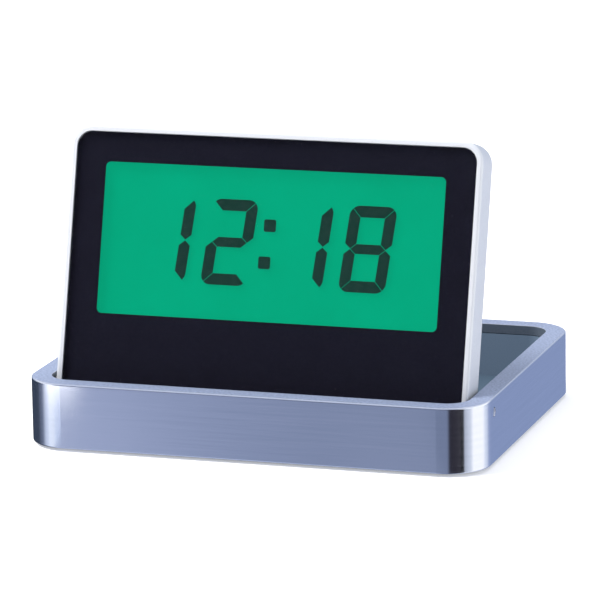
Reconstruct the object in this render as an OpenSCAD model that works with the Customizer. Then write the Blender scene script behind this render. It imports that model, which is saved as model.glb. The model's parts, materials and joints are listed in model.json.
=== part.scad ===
// Folding desk clock: a metal ring with a liner tray, and a display panel that stands in it on two
// hinge pins and folds back to lie face up, level with the ring. Millimetres, +Z up, +Y to the back,
// origin on the table under the middle of the ring. The panel is drawn standing open.

/* [Base] */
// Width of the ring, side to side
base_w = 100; // [90:0.5:130]
// Depth of the ring, front to back
base_d = 78.8; // [76:0.2:110]
// Height of the ring
base_h = 13.9; // [13.5:0.1:20]
// Outer corner radius of the ring, seen from above
corner_r = 9.2; // [8:0.1:12]
// Width of the ring's top face
rim_w = 4.4; // [4:0.1:5]
// Thickness of the lip under the top face
lip_t = 2; // [1.5:0.1:3]
// Thickness of the ring's outer wall
wall_t = 1.6; // [1.2:0.1:2]
// Round on the ring's edges
edge_r = 0.35; // [0.2:0.05:0.8]
// How far the tray is set up inside the ring's lower edge
tray_up = 0.3; // [0.1:0.1:0.6]
// Thickness of the tray's floor
floor_t = 1.9; // [1.7:0.1:2.4]
// Gap between the tray and the ring
tray_gap = 0.15; // [0.05:0.05:0.3]
// Radius of the screw bosses inside the ring
boss_r = 3.2; // [3:0.1:3.4]
// Height of the screw bosses above the tray's floor
boss_h = 3.2; // [2.8:0.1:3.6]
// Front screws, behind the ring's front face
screw_front = 31; // [29:0.5:38]
// Rear screws, in front of the ring's back face
screw_back = 14; // [13:0.5:20]
// Width of each stop rib
rib_w = 5; // [3:0.5:8]
// Length of each stop rib at its foot
rib_l = 3; // [2:0.5:5]
// Stop ribs, out from the middle
rib_x = 26; // [22:0.5:32]
// Radius of a rubber foot
foot_r = 4; // [3:0.1:5]
// Thickness of a rubber foot
foot_t = 1.4; // [1.2:0.1:1.8]
// How far the feet stand below the ring
foot_proud = 0.6; // [0.4:0.1:0.8]
// Feet, in from the ring's outer faces
foot_in = 14; // [12:0.5:18]

/* [Hinge] */
// Lean of the open panel from upright
panel_tilt = 15.4; // [5:0.1:25]
// Hinge line, behind the ring's front face
pin_back = 11.6; // [11.4:0.1:13]
// Hinge line, below the ring's top face
pin_drop = 3.1; // [3:0.05:3.4]
// Diameter of a hinge pin
pin_d = 2; // [1.5:0.1:2.2]
// Length of a hinge pin
pin_l = 9.6; // [8:0.1:10]
// Round on a hinge pin's ends
pin_round = 0.3; // [0.1:0.05:0.5]
// Pin end, below the ring's side face
pin_sink = 0.15; // [0.05:0.05:0.4]
// Diameter of a hinge bush
bush_d = 3.6; // [3.2:0.1:3.7]
// Length of a hinge bush
bush_l = 5.4; // [4.5:0.1:6]
// Running clearance round a pin, on the radius
pin_fit = 0.03; // [0.01:0.01:0.1]
// Diameter of a friction washer
washer_d = 4.4; // [3.6:0.1:5]
// Thickness of a friction washer
washer_t = 0.3; // [0.2:0.05:0.35]
// Gap between the panel and the ring, each side
side_gap = 0.55; // [0.5:0.05:1]
// Gap between the open panel and the stop ribs
stop_gap = 0.3; // [0.2:0.05:0.5]
// Gap between the folded panel and the stop ribs
fold_gap = 0.4; // [0.3:0.05:0.8]

/* [Panel] */
// Panel below the hinge line
heel = 6; // [5.6:0.1:6]
// Thickness of the panel
panel_t = 8; // [7.6:0.1:8.4]
// Corner radius of the panel
panel_r = 4.5; // [3.5:0.1:6]
// Width of the bright border
bezel_w = 1.25; // [1:0.05:1.4]
// Round on the panel's edges
bezel_round = 0.6; // [0.2:0.1:0.8]
// Width of the ledge that carries the lens
ledge_w = 1.6; // [1.2:0.1:1.6]
// Thickness of that ledge
ledge_t = 1; // [0.6:0.1:1.4]
// Gap round the lens
lens_gap = 0.1; // [0.05:0.05:0.2]
// Lens face, below the border
lens_sink = 0.1; // [0:0.05:0.3]
// Thickness of the lens
lens_t = 1; // [0.8:0.05:1]
// Thickness of the rear cover
cover_t = 1.2; // [1:0.1:1.4]
// Gap round the rear cover
cover_gap = 0.1; // [0.05:0.05:0.2]
// Cover screws, out from the middle
cover_screw_x = 30; // [24:0.5:34]
// Length of each hinge block inside the bezel
block_l = 4.2; // [3.6:0.1:5]
// Half height of each hinge block
block_h = 3; // [2.4:0.1:3]
// Hooks on the cover's top edge, out from the middle
hook_x = 24; // [15:0.5:32]

/* [Display] */
// Face beside the display window, each side
lcd_side = 7.8; // [7.8:0.1:9]
// Height of the display window
lcd_h = 32; // [28:0.5:35]
// Display window, below the panel's top edge
lcd_down = 7.6; // [7.6:0.1:8]
// Display window, above the hinge line
lcd_up = 15.6; // [15.6:0.1:16.5]
// Corner radius of the display window
lcd_r = 1.1; // [0.3:0.1:2]
// Height of a digit
digit_h = 18.05; // [14:0.05:22]
// Width of a digit
digit_w = 10.1; // [8:0.1:12]
// Width of a segment
stroke = 2.4; // [1.6:0.1:3]
// Width of the middle segment
middle_stroke = 2.05; // [1.4:0.05:2.6]
// Gap between segments
segment_gap = 0.12; // [0.06:0.02:0.5]
// Radius of a digit's outer corners
digit_r = 2.1; // [0.8:0.1:2.4]
// Lean of the digits
digit_slant = 5.5; // [0:0.5:10]
// Step from one digit to the next in a pair
digit_step = 13.65; // [12.2:0.05:16]
// Middle of each digit pair, out from the colon
pair_x = 15.1; // [13.5:0.1:18]
// Colon, to the right of the window's middle
digits_right = -0.8; // [-2:0.1:2]
// Digits, above the window's middle
digits_up = 0.3; // [-1:0.1:2]
// Width of a colon dot
dot_w = 2.6; // [1.5:0.1:3]
// Corner radius of a colon dot
dot_r = 0.4; // [0.1:0.1:0.7]
// Colon dots, above and below the middle
dot_rise = 3.9; // [2.5:0.1:5]
// Thickness of a sheet of display glass
glass_t = 0.55; // [0.4:0.05:0.6]
// Glass beyond the window, each side
glass_rim = 2; // [1.5:0.1:2]
// Thickness of the light guide
guide_t = 1.25; // [1:0.05:1.3]

/* [Back] */
// Diameter of a rear button
button_d = 5; // [4:0.1:6]
// How far a button stands out
button_proud = 0.9; // [0.6:0.1:1.2]
// Travel of a button
button_travel = 0.5; // [0.3:0.05:0.5]
// Step between buttons
button_step = 14; // [10:0.5:16]
// Height of the buttons above the hinge line
button_up = 26; // [23:0.5:30]
// Radius of the cell cover
door_r = 7.8; // [7.7:0.05:8]
// Turn that frees the cell cover
door_turn = 45; // [40:1:60]
// Cell, above the hinge line
cell_up = 4.9; // [4.8:0.05:5]
// Diameter of the coin cell
cell_d = 12.5; // [11.6:0.1:12.5]
// Thickness of the coin cell
cell_t = 2; // [1.6:0.1:2]
// Diameter of the sounder disc
buzzer_d = 16; // [12:0.5:18]

/* [Hidden] */
$fn = 48;

// Overlap that makes two shapes of one piece one solid, and lets a cut break the surface
melt = 0.2;

// Base levels and places
rim_z = foot_proud + base_h;
tray_z = foot_proud + tray_up;
floor_z = tray_z + floor_t;
liner_top = rim_z - lip_t - tray_gap;
boss_bite = 0.64;
boss_x = base_w / 2 - wall_t - boss_r + boss_bite;
boss_y = [-base_d / 2 + screw_front, base_d / 2 - screw_back];
tray_w = base_w - 2 * wall_t - 2 * tray_gap;
tray_d = base_d - 2 * wall_t - 2 * tray_gap;

// Screws, shared by the tray and the rear cover
screw_d = 2;
screw_fit = 0.05;
head_d = 3.2;
head_t = 0.7;
head_gap = 0.15;
head_sink = 1;
head_edge = 0.5;
cross_l = 1.9;
cross_w = 0.35;
cross_deep = 0.35;
tray_screw_l = 3.6;
cover_screw_l = 3.6;

// Hinge line, and the panel's outline measured up from it
pin_y = -base_d / 2 + pin_back;
pin_z = rim_z - pin_drop;
panel_w = base_w - 2 * rim_w - 2 * side_gap;
panel_rise = lcd_up + lcd_h + lcd_down;
panel_h = panel_rise + heel;
panel_mid = (panel_rise - heel) / 2;
liner_x = base_w / 2 - rim_w;

// Depths behind the panel's front face, from the lens to the circuit board
mask_t = 0.1;
film_t = 0.15;
fluid_t = 0.1;
reflector_t = 0.1;
board_t = 0.8;
mask_d = lens_sink + lens_t;
ledge_d = mask_d + mask_t;
front_glass_d = ledge_d + film_t;
fluid_d = front_glass_d + glass_t;
rear_glass_d = fluid_d + fluid_t;
rear_film_d = rear_glass_d + glass_t;
guide_d = rear_film_d + film_t;
reflector_d = guide_d + guide_t;
board_d = reflector_d + reflector_t;
board_back = board_d + board_t;
cover_d = panel_t - cover_t;

// Display, with heights above the hinge line
lcd_w = panel_w - 2 * lcd_side;
lcd_top = lcd_up + lcd_h;
lcd_mid = lcd_up + lcd_h / 2;
glass_under = 1.2;
glass_over = 1;
contact_strip = 2;
seal_w = 0.8;
zebra_in = 3;
zebra_gap = 0.3;
glass_w = lcd_w + 2 * glass_rim;
glass_low = lcd_up - glass_under;
rear_glass_top = lcd_top + glass_over;
front_glass_top = rear_glass_top + contact_strip;

// Holder round the display
holder_gap = 0.15;
holder_side = 2.6;
holder_over = 1.4;
holder_under = 1.6;
holder_w = glass_w + 2 * holder_gap + 2 * holder_side;
holder_top = front_glass_top + holder_gap + holder_over;
holder_low = glass_low - holder_gap - holder_under;
holder_r = panel_r - bezel_w - ledge_w;

// Backlight
guide_rim = 0.4;
guide_w = lcd_w + 2 * guide_rim;
guide_in = 0.2;
guide_low = glass_low + guide_in;
led_l = 1.3;
led_h = 3;
led_gap = 0.1;
led_rise = 7;

// Circuit board
board_in = 0.5;
block_gap = 0.4;
board_w = holder_w - 2 * board_in;
board_top = holder_top - board_in;
board_low = block_h + block_gap;
dome_d = 4.4;
dome_t = 0.4;
button_x = [for (i = [-1.5:1:1.5]) i * button_step];

// Cell compartment
cell_gap = 0.15;
cup_wall = 1;
cup_floor = 0.4;
cup_rim = 1;
cup_rim_t = 0.5;
spring_room = 0.4;
cell_r = cell_d / 2;
cup_in = cell_r + cell_gap;
cup_out = cup_in + cup_wall;
cell_back = board_back + cup_rim_t;
cell_front = cell_back - cell_t;
cup_front = cell_front - spring_room - cup_floor;
cup_back = cell_back + cup_rim_t;
contact_t = 0.25;
contact_w = 3;
contact_foot = 1;
tail_gap = 0.4;
spring_gap = 0.05;

// Cell cover
door_gap = 0.2;
door_t = 1.1;
door_d = panel_t - door_t;
lug_reach = 1.2;
lug_r = door_r + lug_reach;
lug_t = 0.5;
lug_arc = 30;
notch_spare = 3;
lug_lift = 0.1;
hub_step = 0.2;
hub_wall = 1.1;
hub_out = door_r - hub_step;
hub_in = hub_out - hub_wall;
lug_d = cover_d - lug_lift - lug_t;
slot_l = 9;
slot_w = 1.4;
slot_deep = 0.5;

// Buttons
button_gap = 0.15;
flange_rim = 0.7;
flange_t = 0.5;
flange_lift = 0.1;
flange_d = cover_d - flange_lift - flange_t;
stem_d = 2.4;
stem_gap = 0.1;
stem_end = board_back + dome_t + button_travel + stem_gap;

// Rear cover's screws and hooks
cover_screw_up = -heel + bezel_w + cover_gap + head_d / 2 + head_edge;
stud_wall = 1.2;
hook_w = 6;
hook_l = 3;
hook_t = 0.8;
hook_reach = 0.8;
hook_gap = 0.1;

// Sounder and small parts, in from the panel's sides and down from the display's top
buzzer_in = 19;
buzzer_down = 6;
chip_in = 29;
chip_down = 10;
smd_in = 40;
smd_step = 3;
smd_down = 16;
crystal_in = 21;
crystal_gap = 1;
buzzer_x = -panel_w / 2 + buzzer_in;
buzzer_up = lcd_top - buzzer_down;
buzzer_t = 0.35;
sound_hole_d = 1.2;
sound_ring_r = 3.2;

// Shapes that several pieces share

// What a round of radius r takes off the corner of a section that lies left of and below the origin
module corner_cut(r) {
    difference() {
        translate([-r, -r]) square(2 * r);
        translate([-r, -r]) circle(r);
    }
}

// Rounded rectangle about the origin
module round_rect(w, h, r) {
    square([w - 2 * r, h], center = true);
    square([w, h - 2 * r], center = true);
    for (x = [-1, 1], y = [-1, 1])
        translate([x * (w / 2 - r), y * (h / 2 - r)]) circle(r);
}

// Section swept round a rounded rectangle; the section's x runs out from the corner's centre
module sweep_round_rect(w, d, r) {
    for (i = [0:3]) {
        side = i % 2 == 0 ? w : d;
        run = (i % 2 == 0 ? d : w) - 2 * r;
        rotate(90 * i) {
            translate([side / 2 - r, run / 2]) rotate_extrude(angle = 90) children();
            translate([side / 2 - r, run / 2]) rotate([90, 0, 0]) linear_extrude(run) children();
        }
    }
}

// Panel's own frame: x across, y back from its front face, z up from the hinge line
module on_panel() {
    translate([0, pin_y, pin_z]) rotate([-panel_tilt, 0, 0]) translate([0, -pin_drop, 0]) children();
}

// Flat piece of the panel, drawn as seen from the front
module slab(depth, t) {
    translate([0, depth + t, 0]) rotate([90, 0, 0]) linear_extrude(t) children();
}

// Round piece of the panel that runs from front to back
module post(x, depth, up, l, d) {
    translate([x, depth, up]) rotate([-90, 0, 0]) cylinder(h = l, d = d);
}

// Sector of a ring about the cell's axis, running back from a depth
module cell_sector(depth, t, r_in, r_out, start, arc) {
    translate([0, depth, cell_up]) rotate([-90, 0, 0]) rotate(start) rotate_extrude(angle = arc)
        translate([r_in, 0]) square([r_out - r_in, t]);
}

// Rectangle between two heights, centred across
module band(w, low, top) {
    translate([-w / 2, low]) square([w, top - low]);
}

// Screw with a cross in its head, head down, standing up from its seat at the origin
module screw(l) {
    difference() {
        union() {
            translate([0, 0, -head_t]) cylinder(h = head_t, d = head_d);
            cylinder(h = l, d = screw_d);
        }
        for (a = [0, 90])
            rotate(a) translate([0, 0, -head_t]) cube([cross_l, cross_w, 2 * cross_deep], center = true);
    }
}

module at_bosses() {
    for (x = [-1, 1], y = boss_y)
        translate([x * boss_x, y]) children();
}

module at_feet() {
    for (x = [-1, 1], y = [-1, 1])
        translate([x * (base_w / 2 - foot_in), y * (base_d / 2 - foot_in)]) children();
}

// Base

module frame_section() {
    difference() {
        union() {
            translate([corner_r - wall_t, 0]) square([wall_t, base_h]);
            translate([corner_r - rim_w, base_h - lip_t]) square([rim_w, lip_t]);
        }
        translate([corner_r, base_h]) corner_cut(edge_r);
        translate([corner_r, 0]) mirror([0, 1]) corner_cut(edge_r);
        translate([corner_r - rim_w, base_h]) mirror([1, 0]) corner_cut(edge_r / 2);
    }
}

module base_frame() {
    hole_d = screw_d + 2 * screw_fit;
    color("lightsteelblue") difference() {
        union() {
            translate([0, 0, foot_proud]) sweep_round_rect(base_w, base_d, corner_r) frame_section();
            at_bosses() translate([0, 0, floor_z]) cylinder(h = boss_h, r = boss_r);
        }
        translate([-base_w / 2 - melt, pin_y, pin_z]) rotate([0, 90, 0])
            cylinder(h = base_w + 2 * melt, d = pin_d + 2 * pin_fit);
        at_bosses() translate([0, 0, floor_z - melt]) cylinder(h = boss_h - melt, d = hole_d);
    }
}

module stop_rib() {
    back = panel_t - pin_drop + stop_gap;
    foot_y = pin_y + back / cos(panel_tilt) + (floor_z - pin_z) * tan(panel_tilt);
    top_z = pin_z - (panel_t - pin_drop) - fold_gap;
    top_y = foot_y + (top_z - floor_z) * tan(panel_tilt);
    rotate([90, 0, 90]) linear_extrude(rib_w, center = true)
        polygon([
            [foot_y - melt * tan(panel_tilt), floor_z - melt], [foot_y + rib_l, floor_z - melt],
            [top_y + rib_l / 2, top_z], [top_y, top_z]
        ]);
}

module base_tray() {
    bore_d = screw_d + 2 * head_gap;
    color("slategray") difference() {
        union() {
            difference() {
                translate([0, 0, tray_z]) linear_extrude(liner_top - tray_z)
                    round_rect(tray_w, tray_d, corner_r - wall_t - tray_gap);
                translate([0, 0, floor_z]) linear_extrude(base_h)
                    round_rect(base_w - 2 * rim_w, base_d - 2 * rim_w, corner_r - rim_w);
            }
            for (x = [-1, 1]) translate([x * rib_x, 0, 0]) stop_rib();
        }
        at_bosses() {
            translate([0, 0, floor_z]) cylinder(h = boss_h + tray_gap, r = boss_r + tray_gap);
            translate([0, 0, tray_z - melt]) cylinder(h = floor_t + 2 * melt, d = bore_d);
            translate([0, 0, tray_z - melt]) cylinder(h = head_sink + melt, d = head_d + 2 * head_gap);
        }
        at_feet() translate([0, 0, tray_z - melt])
            cylinder(h = foot_t - tray_z + melt, r = foot_r + head_gap);
        translate([-base_w / 2, pin_y, pin_z]) rotate([0, 90, 0])
            cylinder(h = base_w, d = pin_d + 2 * tray_gap);
    }
}

module tray_screws() {
    color("silver") at_bosses() translate([0, 0, tray_z + head_sink]) screw(tray_screw_l);
}

module foot_pads() {
    color("dimgray") at_feet() rotate_extrude() difference() {
        square([foot_r, foot_t]);
        translate([foot_r, 0]) mirror([0, 1]) corner_cut(foot_proud / 2);
    }
}

module hinge_pin(side) {
    color("gainsboro") translate([side * (base_w / 2 - pin_sink), pin_y, pin_z])
        rotate([0, -90 * side, 0]) rotate_extrude() difference() {
            square([pin_d / 2, pin_l]);
            translate([pin_d / 2, 0]) mirror([0, 1]) corner_cut(pin_round);
            translate([pin_d / 2, pin_l]) corner_cut(pin_round);
        }
}

module hinge_pin_left() { hinge_pin(-1); }

module hinge_pin_right() { hinge_pin(1); }

module friction_washer(side) {
    color("whitesmoke") translate([side * liner_x, pin_y, pin_z]) rotate([0, -90 * side, 0]) difference() {
        cylinder(h = washer_t, d = washer_d);
        translate([0, 0, -melt]) cylinder(h = washer_t + 2 * melt, d = pin_d + 2 * tray_gap);
    }
}

module friction_washer_left() { friction_washer(-1); }

module friction_washer_right() { friction_washer(1); }

// Panel casing

module bezel_section() {
    difference() {
        union() {
            translate([panel_r - bezel_w, 0]) square([bezel_w, panel_t]);
            translate([panel_r - bezel_w - ledge_w, ledge_d]) square([ledge_w + melt, ledge_t]);
        }
        translate([panel_r, panel_t]) corner_cut(bezel_round);
        translate([panel_r, 0]) mirror([0, 1]) corner_cut(bezel_round);
    }
}

module front_bezel() {
    wall_x = panel_w / 2 - bezel_w;
    stud_d = screw_d + 2 * stud_wall;
    slot_d = cover_d - hook_t - hook_gap;
    block_d = ledge_d + ledge_t + bush_d;
    block_x = wall_x - block_l / 2 + melt / 2;
    color("white") on_panel() difference() {
        union() {
            translate([0, 0, panel_mid]) rotate([-90, 0, 0])
                sweep_round_rect(panel_w, panel_h, panel_r) bezel_section();
            for (x = [-1, 1]) {
                translate([x * block_x - (block_l + melt) / 2, ledge_d, -block_h])
                    cube([block_l + melt, block_d - ledge_d, 2 * block_h]);
                post(x * cover_screw_x, ledge_d + ledge_t - melt, cover_screw_up,
                    cover_d - ledge_d - ledge_t + melt, stud_d);
            }
        }
        translate([-panel_w / 2 - melt, pin_drop, 0]) rotate([0, 90, 0])
            cylinder(h = panel_w + 2 * melt, d = bush_d + 2 * pin_fit);
        for (x = [-1, 1]) {
            post(x * cover_screw_x, ledge_d + ledge_t, cover_screw_up,
                cover_d, screw_d + 2 * screw_fit);
            translate([x * hook_x - hook_w / 2 - hook_gap, slot_d, panel_rise - bezel_w - melt])
                cube([hook_w + 2 * hook_gap, hook_t + 2 * hook_gap, hook_reach + hook_gap + melt]);
        }
    }
}

module face_outline() {
    translate([0, panel_mid]) round_rect(
        panel_w - 2 * bezel_w - 2 * lens_gap, panel_h - 2 * bezel_w - 2 * lens_gap,
        panel_r - bezel_w - lens_gap);
}

module face_lens() {
    color("white", 0.3) on_panel() slab(lens_sink, lens_t) face_outline();
}

module mask_print() {
    color("black") on_panel() slab(mask_d, mask_t) difference() {
        face_outline();
        translate([0, lcd_mid]) round_rect(lcd_w, lcd_h, lcd_r);
    }
}

module rear_cover() {
    color("dimgray") on_panel() difference() {
        union() {
            slab(cover_d, cover_t) translate([0, panel_mid]) round_rect(
                panel_w - 2 * bezel_w - 2 * cover_gap, panel_h - 2 * bezel_w - 2 * cover_gap,
                panel_r - bezel_w - cover_gap);
            for (x = [-1, 1])
                translate([x * hook_x - hook_w / 2, cover_d - hook_t, panel_rise - bezel_w - hook_l])
                    cube([hook_w, hook_t + melt, hook_l + hook_reach - hook_gap]);
        }
        for (x = [-1, 1])
            translate([x * hook_x - hook_w / 2 - melt, cover_d, panel_rise - bezel_w - cover_gap])
                cube([hook_w + 2 * melt, cover_t + melt, hook_reach]);
        for (x = button_x)
            post(x, cover_d - melt, button_up, cover_t + 2 * melt, button_d + 2 * button_gap);
        post(0, cover_d - melt, cell_up, cover_t + 2 * melt, 2 * (door_r + door_gap));
        for (a = [0, 180])
            cell_sector(cover_d - melt, cover_t + 2 * melt, door_r - melt, lug_r + door_gap,
                a + door_turn - lug_arc / 2 - notch_spare, lug_arc + 2 * notch_spare);
        for (x = [-1, 1]) {
            post(x * cover_screw_x, cover_d - melt, cover_screw_up, cover_t, screw_d + 2 * head_gap);
            post(x * cover_screw_x, panel_t - head_t - head_gap, cover_screw_up,
                cover_t, head_d + 2 * head_gap);
        }
        post(buzzer_x, cover_d - melt, buzzer_up, cover_t + 2 * melt, sound_hole_d);
        for (a = [0:60:300])
            post(buzzer_x + sound_ring_r * cos(a), cover_d - melt, buzzer_up + sound_ring_r * sin(a),
                cover_t + 2 * melt, sound_hole_d);
    }
}

module cover_screws() {
    color("silver") on_panel() for (x = [-1, 1])
        translate([x * cover_screw_x, panel_t - head_t - head_gap, cover_screw_up])
            rotate([90, 0, 0]) screw(cover_screw_l);
}

module hinge_bush(side) {
    color("goldenrod") on_panel() translate([side * panel_w / 2, pin_drop, 0]) rotate([0, -90 * side, 0])
        difference() {
            cylinder(h = bush_l, d = bush_d);
            translate([0, 0, -melt]) cylinder(h = bush_l + 2 * melt, d = pin_d + 2 * pin_fit);
        }
}

module hinge_bush_left() { hinge_bush(-1); }

module hinge_bush_right() { hinge_bush(1); }

// Display

module front_polariser() {
    color("darkseagreen") on_panel() slab(ledge_d, film_t) band(glass_w, glass_low, rear_glass_top);
}

module lcd_front_glass() {
    color("honeydew") on_panel() slab(front_glass_d, glass_t) band(glass_w, glass_low, front_glass_top);
}

module lcd_rear_glass() {
    color("honeydew") on_panel() slab(rear_glass_d, glass_t) band(glass_w, glass_low, rear_glass_top);
}

module lcd_seal() {
    color("khaki") on_panel() slab(fluid_d, fluid_t) difference() {
        band(glass_w, glass_low, rear_glass_top);
        band(glass_w - 2 * seal_w, glass_low + seal_w, rear_glass_top - seal_w);
    }
}

module rear_polariser() {
    color("darkseagreen") on_panel() slab(rear_film_d, film_t) band(glass_w, glass_low, rear_glass_top);
}

// Seven segments of a digit, in a box from the origin to digit_w by digit_h. The top, the upper left
// and the middle bar are drawn; the others are their mirror images.
arc_steps = 4;
mitre = segment_gap / sqrt(2);
mitre_turn = segment_gap / 2 / digit_r * 180 / PI;
mitre_at = 45;

function arc(c, from, to) = [
    for (i = [0:arc_steps])
        let (a = from + (to - from) * i / arc_steps) [c[0] + digit_r * cos(a), c[1] + digit_r * sin(a)]
];
function lean(p) = [p[0] + (p[1] - digit_h / 2) * tan(digit_slant), p[1]];
function flip(p, x, y) = [x ? digit_w - p[0] : p[0], y ? digit_h - p[1] : p[1]];

top_bar = concat(
    [[stroke + mitre, digit_h - stroke], [digit_w - stroke - mitre, digit_h - stroke]],
    arc([digit_w - digit_r, digit_h - digit_r], mitre_at + mitre_turn, 90),
    arc([digit_r, digit_h - digit_r], 90, 180 - mitre_at - mitre_turn));
left_bar = concat(
    [[stroke, digit_h - stroke - mitre], [stroke, digit_h / 2 + middle_stroke / 2 + mitre]],
    [[stroke / 2, digit_h / 2 + mitre], [0, digit_h / 2 + stroke / 2 - mitre]],
    arc([digit_r, digit_h - digit_r], 180, 180 - mitre_at + mitre_turn));
middle_bar = [
    [stroke / 2 + mitre, digit_h / 2],
    [stroke + mitre, digit_h / 2 + middle_stroke / 2],
    [digit_w - stroke - mitre, digit_h / 2 + middle_stroke / 2],
    [digit_w - stroke / 2 - mitre, digit_h / 2],
    [digit_w - stroke - mitre, digit_h / 2 - middle_stroke / 2],
    [stroke + mitre, digit_h / 2 - middle_stroke / 2]
];

// Bars of a digit by letter: a top, b upper right, c lower right, d bottom, e lower left, f upper left,
// g middle
function bar_points(letter) =
    letter == "g" ? middle_bar :
    letter == "a" || letter == "d" ? [for (p = top_bar) flip(p, false, letter == "d")] :
    [for (p = left_bar) flip(p, letter == "b" || letter == "c", letter == "c" || letter == "e")];

module digit(letters) {
    for (letter = letters)
        polygon([for (p = bar_points(letter)) lean(p)]);
}

module lcd_digits() {
    digits = ["bc", "abged", "bc", "abcdefg"];
    color("black") on_panel() slab(fluid_d, fluid_t)
        translate([digits_right, lcd_mid + digits_up]) {
            for (i = [0:3])
                translate([
                    (i < 2 ? -pair_x : pair_x) + (i % 2 - 0.5) * digit_step - digit_w / 2, -digit_h / 2
                ]) digit(digits[i]);
            for (y = [-1, 1])
                translate([y * dot_rise * tan(digit_slant), y * dot_rise]) round_rect(dot_w, dot_w, dot_r);
        }
}

module light_guide() {
    color("mediumseagreen") on_panel() slab(guide_d, guide_t) band(guide_w, guide_low, rear_glass_top);
}

module reflector_sheet() {
    color("white") on_panel() slab(reflector_d, reflector_t) band(guide_w, guide_low, rear_glass_top);
}

module backlight_leds() {
    color("lemonchiffon") on_panel() for (x = [-1, 1], y = [-1, 1])
        translate([x * (guide_w / 2 + led_gap + led_l / 2), guide_d, lcd_mid + y * led_rise])
            translate([-led_l / 2, 0, -led_h / 2]) cube([led_l, board_d - guide_d, led_h]);
}

module zebra_strip() {
    color("dimgray") on_panel() slab(fluid_d, board_d - fluid_d)
        band(glass_w - 2 * zebra_in, rear_glass_top + zebra_gap, front_glass_top - zebra_gap);
}

module lcd_holder() {
    color("ghostwhite") on_panel() slab(ledge_d, board_d - ledge_d) difference() {
        translate([0, (holder_low + holder_top) / 2])
            round_rect(holder_w, holder_top - holder_low, holder_r);
        band(glass_w + 2 * holder_gap, glass_low - holder_gap, front_glass_top + holder_gap);
    }
}

// Circuit

module circuit_board() {
    color("darkgreen") on_panel() slab(board_d, board_t) difference() {
        band(board_w, board_low, board_top);
        translate([0, cell_up]) circle(cup_out + cell_gap);
    }
}

module chip_blob() {
    blob_d = 9;
    blob_h = 1;
    ball_r = (blob_d * blob_d / 4 + blob_h * blob_h) / (2 * blob_h);
    color("black") on_panel() translate([panel_w / 2 - chip_in, board_back, lcd_top - chip_down])
        rotate([-90, 0, 0]) rotate_extrude() intersection() {
            translate([0, blob_h - ball_r]) circle(ball_r, $fn = 240);
            square([blob_d, blob_h + melt]);
        }
}

module quartz_crystal() {
    can_d = 2;
    can_l = 6;
    color("silver") on_panel()
        translate([-panel_w / 2 + crystal_in, board_d - can_d / 2, holder_low - can_d - crystal_gap])
            rotate([0, 90, 0]) cylinder(h = can_l, d = can_d);
}

module smd_parts() {
    chip_w = 1.6;
    chip_h = 0.8;
    chip_t = 0.5;
    color("saddlebrown") on_panel() for (i = [0:4])
        translate([panel_w / 2 - smd_in + smd_step * i, board_back, lcd_top - smd_down])
            cube([chip_w, chip_t, chip_h]);
}

module switch_domes() {
    color("silver") on_panel() for (x = button_x) post(x, board_back, button_up, dome_t, dome_d);
}

module piezo_buzzer() {
    color("goldenrod") on_panel() post(buzzer_x, cover_d - buzzer_t, buzzer_up, buzzer_t, buzzer_d);
}

module buzzer_leads() {
    lead_d = 0.6;
    lead_x = 2.5;
    color("silver") on_panel() for (x = [-1, 1])
        post(buzzer_x + x * lead_x, board_back, buzzer_up, cover_d - buzzer_t - board_back, lead_d);
}

// Power

module cell_holder() {
    color("black") on_panel() difference() {
        union() {
            post(0, cup_front, cell_up, cup_back - cup_front, 2 * cup_out);
            post(0, board_back, cell_up, cup_rim_t, 2 * (cup_out + cup_rim));
        }
        post(0, cup_front + cup_floor, cell_up, cup_back, 2 * cup_in);
        translate([-cup_out - cup_rim - melt, cup_front + cup_floor, cell_up - contact_w / 2 - cell_gap])
            cube([cup_out + cup_rim, cell_gap + contact_t, contact_w + 2 * cell_gap]);
        translate([cell_r, cup_front + cup_floor, cell_up - contact_w / 2 - cell_gap])
            cube([cup_out + cup_rim, cup_back, contact_w + 2 * cell_gap]);
    }
}

module coin_cell() {
    step = 0.3;
    color("silver") on_panel() union() {
        post(0, cell_front, cell_up, cell_t / 2, cell_d - 2 * step);
        post(0, cell_front + step, cell_up, cell_t - step, cell_d);
    }
}

module contact_minus() {
    tail_x = cup_out + tail_gap + contact_t;
    color("gold") on_panel() {
        translate([-tail_x, cup_front + cup_floor, cell_up - contact_w / 2])
            cube([tail_x + contact_w, contact_t, contact_w]);
        translate([-tail_x, cup_front + cup_floor, cell_up - contact_w / 2])
            cube([contact_t, board_d - cup_front - cup_floor, contact_w]);
        post(0, cup_front + cup_floor + contact_t / 2, cell_up,
            cell_front - cup_front - cup_floor - contact_t / 2, contact_w);
    }
}

module contact_plus() {
    reach = cup_out + cup_rim + contact_foot;
    spring_x = cell_r + spring_gap;
    color("gold") on_panel() {
        translate([spring_x, cell_front + contact_t, cell_up - contact_w / 2])
            cube([contact_t, cell_back - cell_front, contact_w]);
        translate([spring_x, board_back, cell_up - contact_w / 2])
            cube([reach - spring_x, contact_t, contact_w]);
    }
}

// Moving pieces on the back

module rear_button(i) {
    cap_round = 0.3;
    cap_l = panel_t + button_proud - flange_d;
    on_panel() translate([button_x[i], 0, button_up]) {
        translate([0, flange_d, 0]) rotate([-90, 0, 0]) rotate_extrude() difference() {
            union() {
                square([button_d / 2, cap_l]);
                square([button_d / 2 + flange_rim, flange_t]);
            }
            translate([button_d / 2, cap_l]) corner_cut(cap_round);
        }
        post(0, stem_end, 0, flange_d - stem_end + melt, stem_d);
    }
}

module mode_button() { color("darkgray") rear_button(0); }

module set_button() { color("darkgray") rear_button(1); }

module adjust_button() { color("darkgray") rear_button(2); }

module light_button() { color("darkgray") rear_button(3); }

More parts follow.
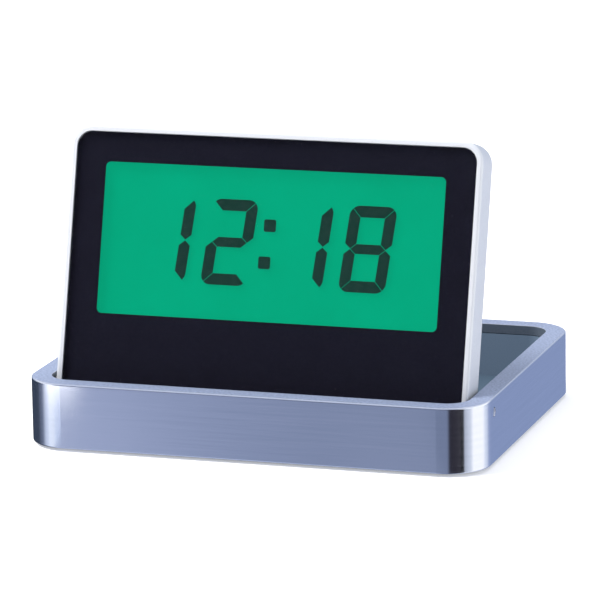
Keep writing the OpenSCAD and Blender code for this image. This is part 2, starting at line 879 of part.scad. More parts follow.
module cell_cover() {
    pad_d = 5;
    pad_gap = 0.3;
    color("dimgray") on_panel() difference() {
        union() {
            post(0, door_d, cell_up, door_t, 2 * door_r);
            cell_sector(lug_d, door_d - lug_d + melt, hub_in, hub_out, 0, 360);
            for (a = [0, 180])
                cell_sector(lug_d, lug_t, hub_out - melt, lug_r, a - lug_arc / 2, lug_arc);
            post(0, cell_back + pad_gap, cell_up, door_d - cell_back - pad_gap + melt, pad_d);
        }
        translate([-slot_l / 2, panel_t - slot_deep, cell_up - slot_w / 2])
            cube([slot_l, slot_deep + melt, slot_w]);
    }
}

base_frame();
base_tray();
tray_screws();
foot_pads();
hinge_pin_left();
hinge_pin_right();
friction_washer_left();
friction_washer_right();
front_bezel();
face_lens();
mask_print();
front_polariser();
lcd_front_glass();
lcd_digits();
lcd_seal();
lcd_rear_glass();
rear_polariser();
light_guide();
reflector_sheet();
backlight_leds();
zebra_strip();
lcd_holder();
circuit_board();
chip_blob();
quartz_crystal();
smd_parts();
switch_domes();
piezo_buzzer();
buzzer_leads();
cell_holder();
coin_cell();
contact_plus();
contact_minus();
rear_cover();
cover_screws();
hinge_bush_left();
hinge_bush_right();
mode_button();
set_button();
adjust_button();
light_button();
cell_cover();
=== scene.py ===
import json
import math

import bmesh
import bpy
from mathutils import Matrix, Vector


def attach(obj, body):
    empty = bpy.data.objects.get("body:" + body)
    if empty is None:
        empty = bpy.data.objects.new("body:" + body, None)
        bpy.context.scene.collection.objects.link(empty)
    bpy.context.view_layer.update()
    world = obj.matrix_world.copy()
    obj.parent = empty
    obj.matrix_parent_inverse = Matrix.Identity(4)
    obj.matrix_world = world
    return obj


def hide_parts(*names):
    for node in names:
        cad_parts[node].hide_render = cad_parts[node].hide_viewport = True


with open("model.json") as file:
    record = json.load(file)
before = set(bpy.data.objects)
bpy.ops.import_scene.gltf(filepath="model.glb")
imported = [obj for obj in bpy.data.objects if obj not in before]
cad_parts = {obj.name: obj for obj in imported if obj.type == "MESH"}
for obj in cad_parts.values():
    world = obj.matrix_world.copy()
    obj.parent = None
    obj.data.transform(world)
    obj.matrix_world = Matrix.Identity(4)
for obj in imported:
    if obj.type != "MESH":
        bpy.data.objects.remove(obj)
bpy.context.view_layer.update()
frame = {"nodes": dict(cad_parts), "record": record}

# Camera: a long lens in front of the clock and a little to its right, looking slightly down, so that
# the ring's front and right sides, its rim and the standing panel all show.
lens_mm, sensor_mm = 270.68, 36.0
camera_place, camera_turns = (0.28763, -0.89374, 0.24362), (76.948, 0.8995, 17.6586)
nearest_seen, furthest_seen = 0.05, 20.0
photo_lens = bpy.data.cameras.new("photo_camera")
photo_lens.sensor_width = sensor_mm
photo_lens.lens = lens_mm
photo_lens.clip_start, photo_lens.clip_end = nearest_seen, furthest_seen
photo_camera = bpy.data.objects.new("photo_camera", photo_lens)
photo_camera.location = camera_place
photo_camera.rotation_euler = [math.radians(degrees) for degrees in camera_turns]
bpy.context.scene.collection.objects.link(photo_camera)
bpy.context.scene.camera = photo_camera
bpy.context.scene.view_settings.view_transform = "Standard"

# Table: a wide flat top in matt white paint, which glows a little so that it stays white beside the clock.
# It lies a hair under the feet, and polished parts don't mirror it.
table_half, table_drop = 3.0, 0.00005
noise_low, noise_high = 0.3, 0.7


def piece_from(mesh_maker, name):
    """Object at the origin with the mesh that a bmesh holds."""
    mesh = bpy.data.meshes.new(name)
    mesh_maker.to_mesh(mesh)
    mesh_maker.free()
    made = bpy.data.objects.new(name, mesh)
    bpy.context.scene.collection.objects.link(made)
    return made


def new_finish(name, constants=None):
    """New material, its node tree and its shader, with constants on the shader's own sockets."""
    finish = bpy.data.materials.new(name)
    finish.use_nodes = True
    shader = finish.node_tree.nodes["Principled BSDF"]
    for socket, value in (constants or {}).items():
        shader.inputs[socket].default_value = value
    return finish, finish.node_tree, shader


def speckle(tree, size_mm, stretch=(1.0, 1.0, 1.0), detail=3.0):
    """Noise whose lumps are about size_mm across, on the piece's own coordinates."""
    coords = tree.nodes.new("ShaderNodeTexCoord")
    stretched = tree.nodes.new("ShaderNodeMapping")
    stretched.inputs["Scale"].default_value = stretch
    noise = tree.nodes.new("ShaderNodeTexNoise")
    noise.inputs["Scale"].default_value = 1000.0 / size_mm
    noise.inputs["Detail"].default_value = detail
    tree.links.new(coords.outputs["Object"], stretched.inputs["Vector"])
    tree.links.new(stretched.outputs["Vector"], noise.inputs["Vector"])
    return noise.outputs["Fac"]


def between(tree, pattern, low, high):
    """Pattern spread over the values from low to high."""
    spread = tree.nodes.new("ShaderNodeMapRange")
    spread.inputs["From Min"].default_value = noise_low
    spread.inputs["From Max"].default_value = noise_high
    spread.inputs["To Min"].default_value = low
    spread.inputs["To Max"].default_value = high
    tree.links.new(pattern, spread.inputs["Value"])
    return spread.outputs["Result"]


def tint(tree, pattern, dark, light):
    """Pattern spread over the colours from dark to light."""
    mix = tree.nodes.new("ShaderNodeMix")
    mix.data_type = "RGBA"
    mix.inputs["A"].default_value = (*dark, 1.0)
    mix.inputs["B"].default_value = (*light, 1.0)
    tree.links.new(between(tree, pattern, 0.0, 1.0), mix.inputs["Factor"])
    return mix.outputs["Result"]


def relief(tree, shader, pattern, height_mm):
    """Raises the surface by the pattern."""
    bump = tree.nodes.new("ShaderNodeBump")
    bump.inputs["Strength"].default_value = 1.0
    bump.inputs["Distance"].default_value = height_mm / 1000.0
    tree.links.new(pattern, bump.inputs["Height"])
    tree.links.new(bump.outputs["Normal"], shader.inputs["Normal"])


def grained_finish(name, grain_mm, dark, light, rough, bump_mm=0.0, stretch=(1.0, 1.0, 1.0), detail=3.0,
                   constants=None):
    """Finish in which one grain varies the colour from dark to light, the gloss where rough is a pair, and
    the height where bump_mm is given."""
    finish, tree, shader = new_finish(name, constants)
    grain = speckle(tree, grain_mm, stretch, detail)
    tree.links.new(tint(tree, grain, dark, light), shader.inputs["Base Color"])
    if isinstance(rough, tuple):
        tree.links.new(between(tree, grain, *rough), shader.inputs["Roughness"])
    else:
        shader.inputs["Roughness"].default_value = rough
    if bump_mm:
        relief(tree, shader, grain, bump_mm)
    return finish


table_mesh = bmesh.new()
bmesh.ops.create_grid(table_mesh, x_segments=1, y_segments=1, size=table_half)
bmesh.ops.translate(table_mesh, vec=(0.0, 0.0, -table_drop), verts=table_mesh.verts)
table = piece_from(table_mesh, "table_top")
table.visible_glossy = False
table_paint = grained_finish(
    "table_paint", grain_mm=60.0, dark=(0.880, 0.868, 0.850), light=(0.895, 0.883, 0.865), rough=0.9,
    constants={"Specular IOR Level": 0.1, "Emission Color": (1.0, 0.99, 0.97, 1.0),
               "Emission Strength": 0.32})
table.data.materials.append(table_paint)

# Light tent: thin cloth all round, lit from outside in three bands. The low one is dark in front, with a
# bright sheet left and right, the high one keeps the face black, and the top is pale. Seen directly it is
# white.
bright, dark, black = (1.12, 1.14, 1.2), (0.03, 0.028, 0.04), (0.0, 0.0, 0.0)
back_low, left_low, front_low = (0.25, 0.32, 0.53), (0.04, 0.055, 0.09), (0.195, 0.24, 0.37)
back_high, right_high = (0.46, 0.54, 0.70), (1.5, 1.53, 1.6)
back_top, side_top = (1.0, 1.03, 1.1), (0.8, 0.85, 0.95)
low_to_high, high_to_top = (-0.06, 0.12), (0.30, 0.46)


def colour_ramp(tree, factor, stops):
    """Colour by a factor from 0 to 1, eased between stops that are pairs of place and colour."""
    ramp = tree.nodes.new("ShaderNodeValToRGB")
    bar = ramp.color_ramp
    bar.interpolation = "EASE"
    bar.elements.remove(bar.elements[1])
    for i, (place, colour) in enumerate(stops):
        stop = bar.elements[0] if i == 0 else bar.elements.new(place)
        stop.position = place
        stop.color = (*colour, 1.0)
    tree.links.new(factor, ramp.inputs["Fac"])
    return ramp.outputs["Color"]


def round_tent(tree, turn_share, stops):
    """Colour of a band by azimuth in degrees: 0 in front, 90 to the right, -90 to the left."""
    return colour_ramp(tree, turn_share, [((degrees + 180.0) / 360.0, colour) for degrees, colour in stops])


def soft_step(tree, value, low, high):
    """0 below low and 1 above high, with a soft change between them."""
    step = tree.nodes.new("ShaderNodeMapRange")
    step.interpolation_type = "SMOOTHSTEP"
    step.inputs["From Min"].default_value = low
    step.inputs["From Max"].default_value = high
    tree.links.new(value, step.inputs["Value"])
    return step.outputs["Result"]


def colour_mix(tree, factor, first, second):
    """The first colour where the factor is 0, and the second where it is 1."""
    mix = tree.nodes.new("ShaderNodeMix")
    mix.data_type = "RGBA"
    tree.links.new(factor, mix.inputs["Factor"])
    tree.links.new(first, mix.inputs["A"])
    tree.links.new(second, mix.inputs["B"])
    return mix.outputs["Result"]


def number_math(tree, operation, first, second):
    """Result of an operation on two sockets, or on a socket and a fixed number."""
    node = tree.nodes.new("ShaderNodeMath")
    node.operation = operation
    for socket, value in zip(node.inputs, (first, second)):
        if isinstance(value, float):
            socket.default_value = value
        else:
            tree.links.new(value, socket)
    return node.outputs["Value"]


tent = bpy.data.worlds.new("light_tent")
bpy.context.scene.world = tent
tent.use_nodes = True
tree = tent.node_tree
tent_direction = tree.nodes.new("ShaderNodeTexCoord")
tent_axes = tree.nodes.new("ShaderNodeSeparateXYZ")
tree.links.new(tent_direction.outputs["Generated"], tent_axes.inputs["Vector"])
to_front = number_math(tree, "MULTIPLY", tent_axes.outputs["Y"], -1.0)
turn_spread = tree.nodes.new("ShaderNodeMapRange")
turn_spread.inputs["From Min"].default_value = -math.pi
turn_spread.inputs["From Max"].default_value = math.pi
tree.links.new(number_math(tree, "ARCTAN2", tent_axes.outputs["X"], to_front), turn_spread.inputs["Value"])
turn_share = turn_spread.outputs["Result"]
low_tent = round_tent(tree, turn_share, [
    (-180.0, back_low), (-150.0, left_low), (-100.0, left_low), (-82.0, (0.13, 0.16, 0.25)),
    (-64.0, (0.64, 0.72, 0.92)), (-54.0, (0.86, 0.94, 1.10)), (-44.0, (0.84, 0.92, 1.08)),
    (-34.0, (0.68, 0.78, 1.00)), (-26.0, (0.55, 0.64, 0.89)), (-21.5, (0.39, 0.46, 0.70)),
    (-19.0, (0.21, 0.26, 0.40)), (-14.0, front_low), (12.0, front_low), (21.0, dark), (46.0, dark),
    (51.0, black), (56.5, black), (59.5, (0.48, 0.53, 0.64)), (74.0, (0.66, 0.72, 0.84)),
    (86.0, bright), (116.0, bright), (132.0, (0.72, 0.79, 0.95)), (148.0, (0.34, 0.41, 0.63)),
    (158.0, (0.255, 0.325, 0.54)), (180.0, back_low),
])
high_tent = round_tent(tree, turn_share, [
    (-180.0, back_high), (-120.0, back_high), (-74.0, bright), (-50.0, bright), (-34.0, dark), (30.0, dark),
    (70.0, right_high), (126.0, right_high), (160.0, back_high), (180.0, back_high),
])
top_tent = round_tent(tree, turn_share, [
    (-180.0, back_top), (-120.0, side_top), (-60.0, (0.62, 0.68, 0.85)), (-20.0, (0.52, 0.58, 0.76)),
    (40.0, (0.46, 0.52, 0.68)), (110.0, side_top), (180.0, back_top),
])
tent_height = tent_axes.outputs["Z"]
tent_wall = colour_mix(tree, soft_step(tree, tent_height, *low_to_high), low_tent, high_tent)
tent_light = colour_mix(tree, soft_step(tree, tent_height, *high_to_top), tent_wall, top_tent)
white_cloth = tree.nodes.new("ShaderNodeRGB")
white_cloth.outputs["Color"].default_value = (1.0, 1.0, 1.0, 1.0)
seen_directly = tree.nodes.new("ShaderNodeLightPath").outputs["Is Camera Ray"]
tree.links.new(colour_mix(tree, seen_directly, tent_light, white_cloth.outputs["Color"]),
               tree.nodes["Background"].inputs["Color"])

# Soft boxes: two square lamps behind cloth, a strong one up on the left and a weak one overhead. Neither
# shows in polished parts or through clear ones.
lamp_colour = (1.0, 0.975, 0.94)


def soft_box(name, place, aim, size, power):
    """Square soft light at a place, facing a point."""
    light = bpy.data.lights.new(name, "AREA")
    light.color = lamp_colour
    light.shape = "SQUARE"
    light.size = size
    light.energy = power
    box = bpy.data.objects.new(name, light)
    box.location = place
    away = [a - b for a, b in zip(place, aim)]
    box.rotation_euler = (
        math.atan2(math.hypot(away[0], away[1]), away[2]), 0.0, math.atan2(away[0], -away[1]))
    box.visible_glossy = False
    box.visible_transmission = False
    bpy.context.scene.collection.objects.link(box)


soft_box("key_light", place=(-0.75, -0.35, 1.00), aim=(0.0, 0.0, 0.03), size=0.5, power=20.0)
soft_box("top_light", place=(0.0, 0.25, 1.2), aim=(0.0, 0.0, 0.0), size=0.8, power=3.0)

# Light cards: two sheets of glowing paper on the table in front of the ring, turned so that their near ends
# lie to the left. They show only in polished metal, one along the whole front wall and the other high up at
# its left end.
card_turn, card_near, card_far = math.radians(-19.5), -0.130, -0.020
card_corner = (-0.0408, -0.0302, 0.0)


def light_card(name, height, across, rise, colour, power):
    """Glowing card. Its light varies across it, by pairs of place and share, and rises between two
    distances from the ring's front left corner."""
    left, right = across[0][0], across[-1][0]
    middle = ((left + right) / 2, (card_near + card_far) / 2, height)
    sheet = bmesh.new()
    bmesh.ops.create_grid(sheet, x_segments=1, y_segments=1, size=0.5)
    bmesh.ops.scale(sheet, vec=(right - left, card_far - card_near, 1.0), verts=sheet.verts)
    bmesh.ops.translate(sheet, vec=middle, verts=sheet.verts)
    bmesh.ops.rotate(sheet, cent=(0.0, 0.0, 0.0), matrix=Matrix.Rotation(card_turn, 3, "Z"),
                     verts=sheet.verts)
    card = piece_from(sheet, name)
    card.visible_camera = card.visible_diffuse = card.visible_transmission = card.visible_shadow = False
    paper = bpy.data.materials.new(name)
    paper.use_nodes = True
    tree = paper.node_tree
    tree.nodes.remove(tree.nodes["Principled BSDF"])
    place = tree.nodes.new("ShaderNodeTexCoord").outputs["Object"]
    turned = tree.nodes.new("ShaderNodeMapping")
    turned.vector_type = "TEXTURE"
    turned.inputs["Location"].default_value = (left * math.cos(card_turn), left * math.sin(card_turn), 0.0)
    turned.inputs["Rotation"].default_value = (0.0, 0.0, card_turn)
    turned.inputs["Scale"].default_value = (right - left, 1.0, 1.0)
    tree.links.new(place, turned.inputs["Vector"])
    card_axes = tree.nodes.new("ShaderNodeSeparateXYZ")
    tree.links.new(turned.outputs["Vector"], card_axes.inputs["Vector"])
    fade = colour_ramp(tree, card_axes.outputs["X"],
                       [((reach - left) / (right - left), (share, share, share)) for reach, share in across])
    away = tree.nodes.new("ShaderNodeVectorMath")
    away.operation = "DISTANCE"
    away.inputs[1].default_value = card_corner
    tree.links.new(place, away.inputs[0])
    glow = tree.nodes.new("ShaderNodeEmission")
    glow.inputs["Color"].default_value = (*colour, 1.0)
    glow.inputs["Strength"].default_value = power
    clear = tree.nodes.new("ShaderNodeBsdfTransparent")
    faded = tree.nodes.new("ShaderNodeMixShader")
    tree.links.new(number_math(tree, "MULTIPLY", fade, soft_step(tree, away.outputs["Value"], *rise)),
                   faded.inputs["Fac"])
    tree.links.new(clear.outputs["BSDF"], faded.inputs[1])
    tree.links.new(glow.outputs["Emission"], faded.inputs[2])
    tree.links.new(faded.outputs["Shader"], tree.nodes["Material Output"].inputs["Surface"])
    card.data.materials.append(paper)


light_card(
    "fill_card", height=0.0004, rise=(-0.002, -0.001), colour=(0.72, 0.82, 1.15), power=0.60,
    across=[(-0.0290, 0.0), (-0.0252, 1.0), (-0.0235, 0.70), (-0.0205, 0.50), (-0.0139, 0.42),
            (-0.006, 0.28), (0.002, 0.20), (0.012, 0.14), (0.028, 0.11), (0.042, 0.18), (0.050, 0.18),
            (0.058, 0.0)])
light_card(
    "glow_card", height=0.0008, rise=(0.054, 0.065), colour=(1.0, 1.0, 1.02), power=2.5,
    across=[(-0.078, 0.0), (-0.066, 0.8), (-0.034, 1.0), (-0.026, 0.9), (-0.0205, 0.0)])

# Base ring: one strip of aluminium bent round and welded, then clear anodised. The wall is brushed along
# its length, which smears reflections up and down, and the top face is blasted to a satin grain; its blue
# tint is a painted reflection of the bluish light around the ring. The narrow inner edge is coloured dark
# slate and not metal, a painted shade for the hollow between the ring and the panel.
ring_w, ring_d, ring_corner, over_ring = 0.100, 0.0788, 0.0092, 1.0
brush_scale, brush_stretch, brush_detail, brush_contrast, brush_depth_mm = 3200.0, 0.012, 4.0, 0.65, 0.002
brush_smear, brush_turn = 0.85, 0.25
blast_mm, blast_detail = 0.5, 5.0
wall_dark, wall_light, wall_rough = (0.79, 0.81, 0.86), (0.85, 0.86, 0.91), (0.15, 0.20)
# Top colours: the blasted grain, with a blue tint that is a painted reflection of the bluish light around
# it.
top_dark, top_light, top_rough = (0.155, 0.19, 0.285), (0.355, 0.41, 0.56), (0.42, 0.55)
wall_metal, top_metal = 1.0, (0.08, 0.20)
# Dark slate for the inner edge: painted shade for the hollow.
hollow_shade_dark, hollow_shade_light = (0.095, 0.12, 0.155), (0.115, 0.14, 0.175)
hollow_shade_step, upward_step = (-0.004, -0.002), (0.90, 0.97)


def dress(finish, *names):
    """Gives a finish to solids of the frame."""
    for name in names:
        solid = frame["nodes"][name].data
        solid.materials.clear()
        solid.materials.append(finish)


def vector_math(tree, operation, first, second=None):
    """Result of an operation on one or two vectors, which are sockets or fixed."""
    node = tree.nodes.new("ShaderNodeVectorMath")
    node.operation = operation
    for socket, value in zip(node.inputs, (first, second)):
        if isinstance(value, tuple):
            socket.default_value = value
        elif value is not None:
            tree.links.new(value, socket)
    return node.outputs["Value" if operation in ("LENGTH", "DOT_PRODUCT") else "Vector"]


def by_facing(tree, kind, wall, top):
    """One pattern or number on a piece's walls, and another on its faces that look up."""
    facing = tree.nodes.new("ShaderNodeSeparateXYZ")
    tree.links.new(tree.nodes.new("ShaderNodeNewGeometry").outputs["True Normal"], facing.inputs["Vector"])
    mix = tree.nodes.new("ShaderNodeMix")
    mix.data_type = kind
    tree.links.new(soft_step(tree, facing.outputs["Z"], *upward_step), mix.inputs["Factor"])
    for name, pattern in (("A", wall), ("B", top)):
        socket = next(socket for socket in mix.inputs if socket.enabled and socket.name == name)
        if isinstance(pattern, float):
            socket.default_value = pattern
        else:
            tree.links.new(pattern, socket)
    return next(socket for socket in mix.outputs if socket.enabled)


brushed_ring, tree, shader = new_finish(
    "brushed_ring", {"Anisotropic": brush_smear, "Anisotropic Rotation": brush_turn})
coords = tree.nodes.new("ShaderNodeTexCoord").outputs["Object"]
beyond = vector_math(tree, "SUBTRACT", vector_math(tree, "ABSOLUTE", coords),
                     (ring_w / 2 - ring_corner, ring_d / 2 - ring_corner, over_ring))
from_core = vector_math(tree, "MAXIMUM", beyond, (0.0, 0.0, 0.0))
outward = vector_math(tree, "MULTIPLY", from_core, vector_math(tree, "SIGN", coords))
ring_axes = tree.nodes.new("ShaderNodeSeparateXYZ")
tree.links.new(coords, ring_axes.inputs["Vector"])
grain_place = tree.nodes.new("ShaderNodeCombineXYZ")
tree.links.new(vector_math(tree, "LENGTH", from_core), grain_place.inputs["X"])
tree.links.new(number_math(tree, "ADD", ring_axes.outputs["X"], ring_axes.outputs["Y"]),
               grain_place.inputs["Y"])
tree.links.new(ring_axes.outputs["Z"], grain_place.inputs["Z"])
grain_stretch = tree.nodes.new("ShaderNodeMapping")
grain_stretch.inputs["Scale"].default_value = (1.0, brush_stretch, 1.0)
tree.links.new(grain_place.outputs["Vector"], grain_stretch.inputs["Vector"])
brush_noise = tree.nodes.new("ShaderNodeTexNoise")
brush_noise.inputs["Scale"].default_value = brush_scale
brush_noise.inputs["Detail"].default_value = brush_detail
brush_noise.inputs["Roughness"].default_value = brush_contrast
tree.links.new(grain_stretch.outputs["Vector"], brush_noise.inputs["Vector"])
brushed, blasted = brush_noise.outputs["Fac"], speckle(tree, blast_mm, detail=blast_detail)
ring_normal = tree.nodes.new("ShaderNodeNewGeometry").outputs["True Normal"]
# Faces that look in towards the middle get dark slate and no metal: a painted shade for the hollow between
# ring and panel.
clear_of_hollow_shade = soft_step(tree, vector_math(tree, "DOT_PRODUCT", outward, ring_normal), *hollow_shade_step)
# The top face's blue tint is a painted reflection of the bluish light around the ring; its grain is the
# blasting.
bare_colour = by_facing(tree, "RGBA", tint(tree, brushed, wall_dark, wall_light),
                        tint(tree, blasted, top_dark, top_light))
hollow_shade_colour = tint(tree, blasted, hollow_shade_dark, hollow_shade_light)
tree.links.new(colour_mix(tree, clear_of_hollow_shade, hollow_shade_colour, bare_colour), shader.inputs["Base Color"])
ring_rough = by_facing(tree, "FLOAT", between(tree, brushed, *wall_rough),
                       between(tree, blasted, *top_rough))
tree.links.new(ring_rough, shader.inputs["Roughness"])
bare_metal = by_facing(tree, "FLOAT", wall_metal, between(tree, blasted, *top_metal))
tree.links.new(number_math(tree, "MULTIPLY", bare_metal, clear_of_hollow_shade), shader.inputs["Metallic"])
relief(tree, shader, brushed, brush_depth_mm)
brush_run = vector_math(tree, "NORMALIZE", vector_math(tree, "CROSS_PRODUCT", outward, (0.0, 0.0, -1.0)))
tree.links.new(brush_run, shader.inputs["Tangent"])
dress(brushed_ring, "base_frame")

# Tray: one slate coloured plastic moulding, liner, floor and stop ribs, with a fine sparked texture. The
# faces that look up, the floor among them, are coloured darker than the walls: painted shade. It is pushed
# up into the ring from below and held by four screws.
spark_mm, spark_depth_mm, tray_rough = 0.25, 0.012, (0.36, 0.48)
liner_dark, liner_light = (0.16, 0.225, 0.30), (0.195, 0.26, 0.345)
floor_shade_dark, floor_shade_light = (0.06, 0.10, 0.138), (0.09, 0.13, 0.178)
tray_plastic, tree, shader = new_finish("tray_plastic")
sparks = speckle(tree, spark_mm)
# Faces that look up get the darker floor colours, a painted shade.
tree.links.new(
    by_facing(tree, "RGBA", tint(tree, sparks, liner_dark, liner_light),
              tint(tree, sparks, floor_shade_dark, floor_shade_light)),
    shader.inputs["Base Color"])
tree.links.new(between(tree, sparks, *tray_rough), shader.inputs["Roughness"])
relief(tree, shader, sparks, spark_depth_mm)
dress(tray_plastic, "base_tray")

# Screws: cold headed steel with a cross in the head, plated with bright zinc. Four hold the tray up in the
# ring, and two hold the panel's back at its foot.
zinc_plate = grained_finish(
    "zinc_plate", grain_mm=0.3, dark=(0.50, 0.51, 0.54), light=(0.66, 0.67, 0.69), rough=(0.25, 0.42),
    constants={"Metallic": 1.0})
dress(zinc_plate, "tray_screws", "cover_screws")

# Feet: four soft buttons of black rubber, moulded with a rounded edge and dulled by a faint bloom. They are
# stuck into pockets under the tray.
foot_rubber = grained_finish(
    "foot_rubber", grain_mm=0.8, detail=6.0, dark=(0.015, 0.015, 0.017), light=(0.035, 0.035, 0.038),
    rough=(0.75, 0.95), bump_mm=0.02)
dress(foot_rubber, "foot_pads")

# Hinge pins: two ground steel pins with rounded ends that still show turning marks. They are pushed in
# through the ring's sides and the liner.
pin_steel = grained_finish(
    "pin_steel", grain_mm=0.12, stretch=(0.2, 1.0, 1.0), dark=(0.62, 0.62, 0.65), light=(0.84, 0.85, 0.88),
    rough=(0.22, 0.40), constants={"Metallic": 1.0})
dress(pin_steel, "hinge_pin_left", "hinge_pin_right")

# Washers: discs punched from milky nylon sheet. They lie on the pins between the panel and the liner, and
# give the panel its drag.
washer_nylon = grained_finish(
    "washer_nylon", grain_mm=0.6, dark=(0.66, 0.65, 0.61), light=(0.76, 0.75, 0.71), rough=(0.40, 0.52))
dress(washer_nylon, "friction_washer_left", "friction_washer_right")

# Bezel: the panel's frame and side wall in one plastic moulding. It is sprayed silver white with a fine
# flake, under a thin clear coat.
silver_lacquer = grained_finish(
    "silver_lacquer", grain_mm=0.12, dark=(0.645, 0.66, 0.68), light=(0.685, 0.70, 0.72),
    rough=(0.26, 0.36), constants={"Metallic": 0.12, "Coat Weight": 0.3, "Coat Roughness": 0.12})
dress(silver_lacquer, "front_bezel")

# Face window: clear acrylic, cut with round corners and flame polished, so its front edge is softened. It
# lies in the bezel a hair in front of the black print, and carries the faintest haze from wiping.
window_w, window_h, window_corner, window_t = 0.0874, 0.0585, 0.00315, 0.00097
window_front, window_middle, window_edge = 0.0001, 0.0246, 0.00012
corner_steps, edge_steps = 12, 2
panel_tilt, hinge_to_front = 15.4, 0.0031
haze_mm, haze_detail, haze_rough = 9.0, 6.0, (0.0, 0.03)
hinge_line = Vector(frame["record"]["behaviour"]["joints"][0]["pos_m"])
on_panel = (Matrix.Translation(hinge_line) @ Matrix.Rotation(math.radians(-panel_tilt), 4, "X")
            @ Matrix.Translation((0.0, -hinge_to_front, 0.0)))
window_mesh = bmesh.new()
bmesh.ops.create_grid(window_mesh, x_segments=1, y_segments=1, size=0.5)
bmesh.ops.scale(window_mesh, vec=(window_w, window_h, 1.0), verts=window_mesh.verts)
bmesh.ops.bevel(window_mesh, geom=window_mesh.verts[:], offset=window_corner, affect="VERTICES",
                segments=corner_steps, profile=0.5, material=-1)
pulled = bmesh.ops.extrude_face_region(window_mesh, geom=window_mesh.faces[:])["geom"]
front_verts = [part for part in pulled if isinstance(part, bmesh.types.BMVert)]
bmesh.ops.translate(window_mesh, vec=(0.0, 0.0, window_t), verts=front_verts)
bmesh.ops.recalc_face_normals(window_mesh, faces=window_mesh.faces)
front_edges = [edge for edge in window_mesh.edges if all(vert in front_verts for vert in edge.verts)]
bmesh.ops.bevel(window_mesh, geom=front_edges, offset=window_edge, affect="EDGES",
                segments=edge_steps, profile=0.5, material=-1)
bmesh.ops.transform(
    window_mesh, verts=window_mesh.verts,
    matrix=on_panel @ Matrix.Translation((0.0, window_front + window_t, window_middle))
    @ Matrix.Rotation(math.radians(90.0), 4, "X"))
window = piece_from(window_mesh, "face_window")
clear_acrylic, tree, shader = new_finish(
    "clear_acrylic", {"Base Color": (1.0, 1.0, 1.0, 1.0), "Transmission Weight": 1.0, "IOR": 1.49})
haze = speckle(tree, haze_mm, detail=haze_detail)
tree.links.new(between(tree, haze, *haze_rough), shader.inputs["Roughness"])
window.data.materials.append(clear_acrylic)
window.visible_shadow = False
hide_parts("face_lens")
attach(window, "panel")

# Mask: matt black ink with a trace of blue, screen printed on the back of the window. A clear rectangle is
# left in it for the display.
black_ink = grained_finish(
    "black_ink", grain_mm=0.5, dark=(0.009, 0.009, 0.017), light=(0.012, 0.012, 0.021), rough=0.7,
    constants={"Specular IOR Level": 0.0})
dress(black_ink, "mask_print")

# Display: two sheets of thin glass, sealed with resin, with a film on each outer side. The dark bars are
# liquid crystal that is switched on between the sheets, and the film at the back is lit green from behind.
film_mm, film_rough, film_glow = 14.0, 0.6, 0.91
film_dark, film_light = (0.0, 0.060, 0.032), (0.0, 0.066, 0.035)
green_dark, green_light = (0.0, 0.385, 0.200), (0.0, 0.40, 0.212)
display_film = grained_finish(
    "display_film", grain_mm=2.0, dark=(0.05, 0.07, 0.06), light=(0.07, 0.09, 0.08), rough=0.3,
    constants={"Alpha": 0.01})
dress(display_film, "front_polariser")
display_glass = grained_finish(
    "display_glass", grain_mm=3.0, dark=(0.20, 0.32, 0.26), light=(0.24, 0.36, 0.30), rough=0.05,
    constants={"Alpha": 0.004})
dress(display_glass, "lcd_front_glass", "lcd_rear_glass")
for sheet in ("front_polariser", "lcd_front_glass", "lcd_rear_glass"):
    clear_sheet = frame["nodes"][sheet]
    clear_sheet.visible_diffuse = clear_sheet.visible_transmission = clear_sheet.visible_shadow = False
# The bars glow faintly green: a painted glow that stands in for the backlight seeping through them.
segment_dark = grained_finish(
    "segment_dark", grain_mm=1.2, dark=(0.010, 0.011, 0.012), light=(0.016, 0.018, 0.018), rough=0.5,
    constants={"Emission Color": (0.0, 0.42, 0.275, 1.0), "Emission Strength": 0.075,
               "Specular IOR Level": 0.0})
dress(segment_dark, "lcd_digits")
seal_resin = grained_finish(
    "seal_resin", grain_mm=0.8, dark=(0.40, 0.36, 0.22), light=(0.48, 0.43, 0.27), rough=0.35)
dress(seal_resin, "lcd_seal")
lit_film, tree, shader = new_finish(
    "lit_film", {"Roughness": film_rough, "Emission Strength": film_glow, "Specular IOR Level": 0.0})
film_grain = speckle(tree, film_mm)
tree.links.new(tint(tree, film_grain, film_dark, film_light), shader.inputs["Base Color"])
tree.links.new(tint(tree, film_grain, green_dark, green_light), shader.inputs["Emission Color"])
dress(lit_film, "rear_polariser")

# Backlight: a green acrylic plate that four small lamps light from its ends. It lies on a white sheet, in
# the white moulded frame that holds the display.
guide_acrylic = grained_finish(
    "guide_acrylic", grain_mm=0.7, dark=(0.02, 0.42, 0.24), light=(0.05, 0.52, 0.31), rough=0.2,
    constants={"Emission Color": (0.0, 0.4, 0.2, 1.0), "Emission Strength": 0.4})
dress(guide_acrylic, "light_guide")
white_sheet = grained_finish(
    "white_sheet", grain_mm=0.5, dark=(0.80, 0.80, 0.79), light=(0.87, 0.87, 0.86), rough=(0.50, 0.62))
dress(white_sheet, "reflector_sheet", "lcd_holder")
lamp_resin = grained_finish(
    "lamp_resin", grain_mm=0.4, dark=(0.75, 0.74, 0.52), light=(0.85, 0.83, 0.62), rough=0.3)
dress(lamp_resin, "backlight_leds")

# Connector strip: silicone rubber in thin layers, conducting and insulating by turns. It is squeezed
# between the glass and the board.
layer_scale, layer_dark, layer_light = 700.0, (0.03, 0.03, 0.03), (0.35, 0.36, 0.38)
zebra_rubber, tree, shader = new_finish("zebra_rubber", {"Roughness": 0.7})
layers = tree.nodes.new("ShaderNodeTexWave")
layers.bands_direction = "X"
layers.inputs["Scale"].default_value = layer_scale
tree.links.new(tree.nodes.new("ShaderNodeTexCoord").outputs["Object"], layers.inputs["Vector"])
tree.links.new(tint(tree, layers.outputs["Fac"], layer_dark, layer_light), shader.inputs["Base Color"])
dress(zebra_rubber, "zebra_strip")

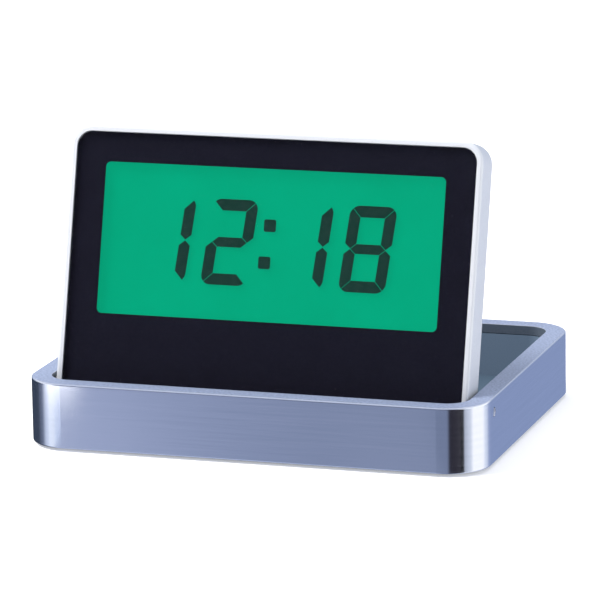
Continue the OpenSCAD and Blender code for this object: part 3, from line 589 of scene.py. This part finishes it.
# Circuit: a green lacquered board with the clock chip under a drop of black resin, a crystal can, small
# ceramic parts, and a spring steel dome under each button. The cell lies in a black cup that stands in a
# hole of the board, and two wires join the sounder to the board.
track_scale, track_gap, board_grain_mm, board_rough = 260.0, 0.06, 1.0, (0.25, 0.38)
board_lacquer, tree, shader = new_finish("board_lacquer")
tracks = tree.nodes.new("ShaderNodeTexBrick")
tracks.inputs["Scale"].default_value = track_scale
tracks.inputs["Mortar Size"].default_value = track_gap
tracks.inputs["Color1"].default_value = (0.012, 0.13, 0.045, 1.0)
tracks.inputs["Color2"].default_value = (0.016, 0.16, 0.055, 1.0)
tracks.inputs["Mortar"].default_value = (0.05, 0.28, 0.10, 1.0)
board_turn = tree.nodes.new("ShaderNodeMapping")
board_turn.inputs["Rotation"].default_value = (math.radians(90.0 + panel_tilt), 0.0, 0.0)
tree.links.new(tree.nodes.new("ShaderNodeTexCoord").outputs["Object"], board_turn.inputs["Vector"])
tree.links.new(board_turn.outputs["Vector"], tracks.inputs["Vector"])
tree.links.new(tracks.outputs["Color"], shader.inputs["Base Color"])
tree.links.new(between(tree, speckle(tree, board_grain_mm), *board_rough), shader.inputs["Roughness"])
dress(board_lacquer, "circuit_board")
chip_resin = grained_finish(
    "chip_resin", grain_mm=1.5, dark=(0.010, 0.010, 0.011), light=(0.020, 0.020, 0.022), rough=(0.30, 0.45))
dress(chip_resin, "chip_blob", "cell_holder")
spring_steel = grained_finish(
    "spring_steel", grain_mm=0.2, stretch=(0.1, 1.0, 1.0), dark=(0.55, 0.55, 0.56),
    light=(0.70, 0.70, 0.71), rough=(0.22, 0.34), constants={"Metallic": 1.0})
dress(spring_steel, "quartz_crystal", "switch_domes", "buzzer_leads", "coin_cell")
ceramic = grained_finish(
    "ceramic", grain_mm=0.3, dark=(0.20, 0.11, 0.06), light=(0.28, 0.16, 0.09), rough=0.45)
dress(ceramic, "smd_parts")

# Brass pieces: the sounder's disc and the cell's springs, stamped from sheet, and the bushes that run on
# the pins, turned from rod. All are bare brass with a light tarnish.
plain_brass = grained_finish(
    "plain_brass", grain_mm=1.2, detail=6.0, dark=(0.55, 0.38, 0.14), light=(0.74, 0.55, 0.24),
    rough=(0.25, 0.42), constants={"Metallic": 1.0})
dress(plain_brass, "piezo_buzzer", "contact_plus", "contact_minus", "hinge_bush_left", "hinge_bush_right")

# Back: a flat black moulding with a sparked texture, hooked in at the top and screwed at the bottom. The
# twist cover over the cell is of the same plastic.
cover_plastic = grained_finish(
    "cover_plastic", grain_mm=0.22, dark=(0.040, 0.040, 0.044), light=(0.060, 0.060, 0.066),
    rough=(0.40, 0.52), bump_mm=0.012)
dress(cover_plastic, "rear_cover", "cell_cover")

# Buttons: four caps of dark plastic, moulded with a satin top. Each stands through the back on its own
# stem, over a dome.
button_plastic = grained_finish(
    "button_plastic", grain_mm=0.15, dark=(0.045, 0.047, 0.055), light=(0.065, 0.067, 0.076),
    rough=(0.38, 0.50), bump_mm=0.006)
dress(button_plastic, "mode_button", "set_button", "adjust_button", "light_button")
